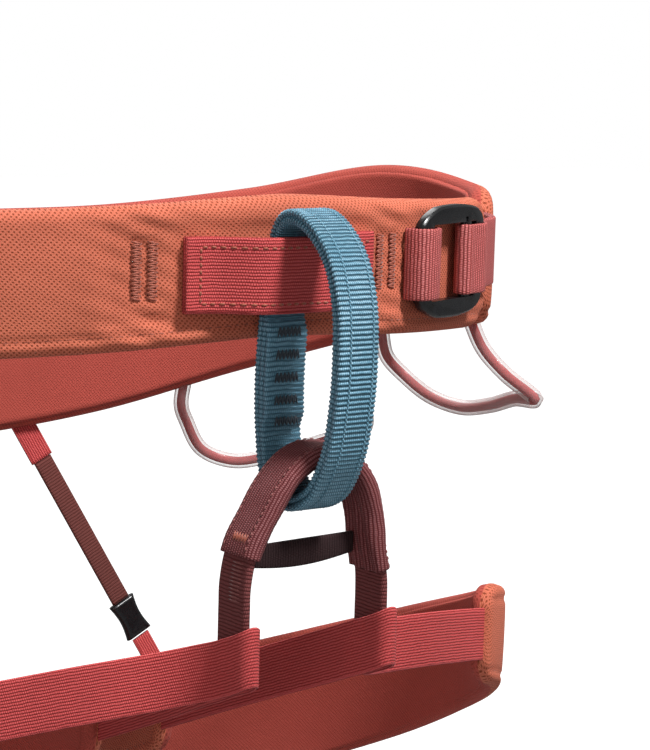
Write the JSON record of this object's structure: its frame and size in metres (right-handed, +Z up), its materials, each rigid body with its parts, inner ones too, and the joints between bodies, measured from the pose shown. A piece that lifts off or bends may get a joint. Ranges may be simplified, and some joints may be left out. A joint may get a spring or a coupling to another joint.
{
  "type": "climbing harness",
  "caption": "Padded sit harness with a webbing buckle, stitched tie-in webbing, blue belay loop, yoke, padded leg loops, tubed gear loops, haul loop and elastic risers.",
  "frame": {"origin": "middle of the waist opening, level with the tie-in webbing (the mount waist)", "axes": "+Z up, -Y to the wearer's front, +X to the wearer's left"},
  "size_m": [0.334, 0.2779, 0.2711],
  "materials": {
    "shell_fabric": "woven nylon, matte",
    "lining_fabric": "smooth knitted mesh",
    "pad_foam": "closed-cell foam",
    "load_webbing": "ribbed nylon webbing",
    "belay_webbing": "ribbed tubular webbing",
    "yoke_webbing": "stitched webbing",
    "dark_webbing": "flat tape",
    "dark_plastic": "satin black",
    "clear_tube": "milky flexible tube",
    "loop_cord": "braided cord",
    "riser_elastic": "woven elastic"
  },
  "bodies": {
    "waist": {"waist_shell": "shell_fabric", "waist_foam": "pad_foam", "waist_lining": "lining_fabric", "tie_in_webbing_inner": "load_webbing", "tie_in_webbing_outer": "load_webbing", "buckle_frame": "dark_plastic", "buckle_anchor_webbing": "load_webbing", "waist_strap": "load_webbing", "haul_loop_tab": "load_webbing", "riser_left_belt_tab": "load_webbing", "riser_right_belt_tab": "load_webbing"},
    "lock_bar": {"buckle_lock_bar": "dark_plastic"},
    "belay_loop": {"belay_loop_outer_ply": "belay_webbing", "belay_loop_inner_ply": "belay_webbing", "belay_loop_lap_ply": "belay_webbing"},
    "yoke": {"yoke_webbing": "yoke_webbing", "yoke_sleeve": "yoke_webbing", "yoke_cross_strap": "dark_webbing"},
    "leg_left": {"leg_left_shell": "shell_fabric", "leg_left_foam": "pad_foam", "leg_left_lining": "lining_fabric", "leg_left_webbing": "load_webbing", "leg_left_riser_tab": "load_webbing"},
    "leg_right": {"leg_right_shell": "shell_fabric", "leg_right_foam": "pad_foam", "leg_right_lining": "lining_fabric", "leg_right_webbing": "load_webbing", "leg_right_riser_tab": "load_webbing"},
    "riser_left": {"riser_left_elastic": "riser_elastic", "riser_left_hook": "dark_plastic"},
    "riser_right": {"riser_right_elastic": "riser_elastic", "riser_right_hook": "dark_plastic"},
    "gear_front_left": {"gear_loop_front_left_tube": "clear_tube", "gear_loop_front_left_cord": "loop_cord"},
    "gear_front_right": {"gear_loop_front_right_tube": "clear_tube", "gear_loop_front_right_cord": "loop_cord"},
    "gear_rear_left": {"gear_loop_rear_left_tube": "clear_tube", "gear_loop_rear_left_cord": "loop_cord"},
    "gear_rear_right": {"gear_loop_rear_right_tube": "clear_tube", "gear_loop_rear_right_cord": "loop_cord"},
    "haul_loop": {"haul_loop": "load_webbing"}
  },
  "joints": [
    {"name": "lock_bar_slide", "type": "slide", "parent": "waist", "child": "lock_bar", "axis": [0.908, 0.4191, 0], "range_m": [0, 0.002]},
    {"name": "belay_swing", "type": "hinge", "parent": "waist", "child": "belay_loop", "pos_m": [0, -0.116, 0.01], "axis": [-1, 0, 0], "range_deg": [0, 8]},
    {"name": "yoke_swing", "type": "hinge", "parent": "belay_loop", "child": "yoke", "pos_m": [0, -0.13, -0.058], "axis": [-1, 0, 0], "range_deg": [-8, 0.5]},
    {"name": "riser_left_swing", "type": "hinge", "parent": "waist", "child": "riser_left", "pos_m": [0.0318, 0.10157, -0.09872], "axis": [-1, 0, 0], "range_deg": [-0.5, 7.7]},
    {"name": "riser_right_swing", "type": "hinge", "parent": "waist", "child": "riser_right", "pos_m": [-0.03231, 0.10163, -0.09846], "axis": [-1, 0, 0], "range_deg": [-0.5, 7.65]},
    {"name": "leg_left_rock", "type": "hinge", "parent": "yoke", "child": "leg_left", "pos_m": [0.025, -0.13, -0.114], "axis": [-0.1987, -0.9437, 0.2644], "range_deg": [-4, 7]},
    {"name": "leg_right_rock", "type": "hinge", "parent": "yoke", "child": "leg_right", "pos_m": [-0.031, -0.13, -0.114], "axis": [-0.1966, 0.9438, -0.2656], "range_deg": [-4, 7]},
    {"name": "gear_front_left_swing", "type": "hinge", "parent": "waist", "child": "gear_front_left", "pos_m": [0.14778, -0.00295, -0.04036], "axis": [-0.0411, -0.9815, 0.1869], "range_deg": [-6, 14]},
    {"name": "gear_front_right_swing", "type": "hinge", "parent": "waist", "child": "gear_front_right", "pos_m": [-0.14778, -0.00295, -0.04036], "axis": [-0.0411, 0.9815, -0.1869], "range_deg": [-6, 14]},
    {"name": "gear_rear_left_swing", "type": "hinge", "parent": "waist", "child": "gear_rear_left", "pos_m": [0.11696, 0.06259, -0.06084], "axis": [0.7115, -0.6345, 0.3019], "range_deg": [-6, 14]},
    {"name": "gear_rear_right_swing", "type": "hinge", "parent": "waist", "child": "gear_rear_right", "pos_m": [-0.11696, 0.06259, -0.06084], "axis": [0.7115, 0.6345, -0.3019], "range_deg": [-6, 14]},
    {"name": "haul_swing", "type": "hinge", "parent": "waist", "child": "haul_loop", "pos_m": [0, 0.1141, -0.027], "axis": [1, 0, 0], "range_deg": [0, 14]}
  ],
  "couplings": [
    {"joint": "yoke_swing", "follows": "belay_swing", "ratio": -1},
    {"joint": "riser_left_swing", "follows": "belay_swing", "ratio": 0.8998},
    {"joint": "riser_right_swing", "follows": "belay_swing", "ratio": 0.8936}
  ]
}
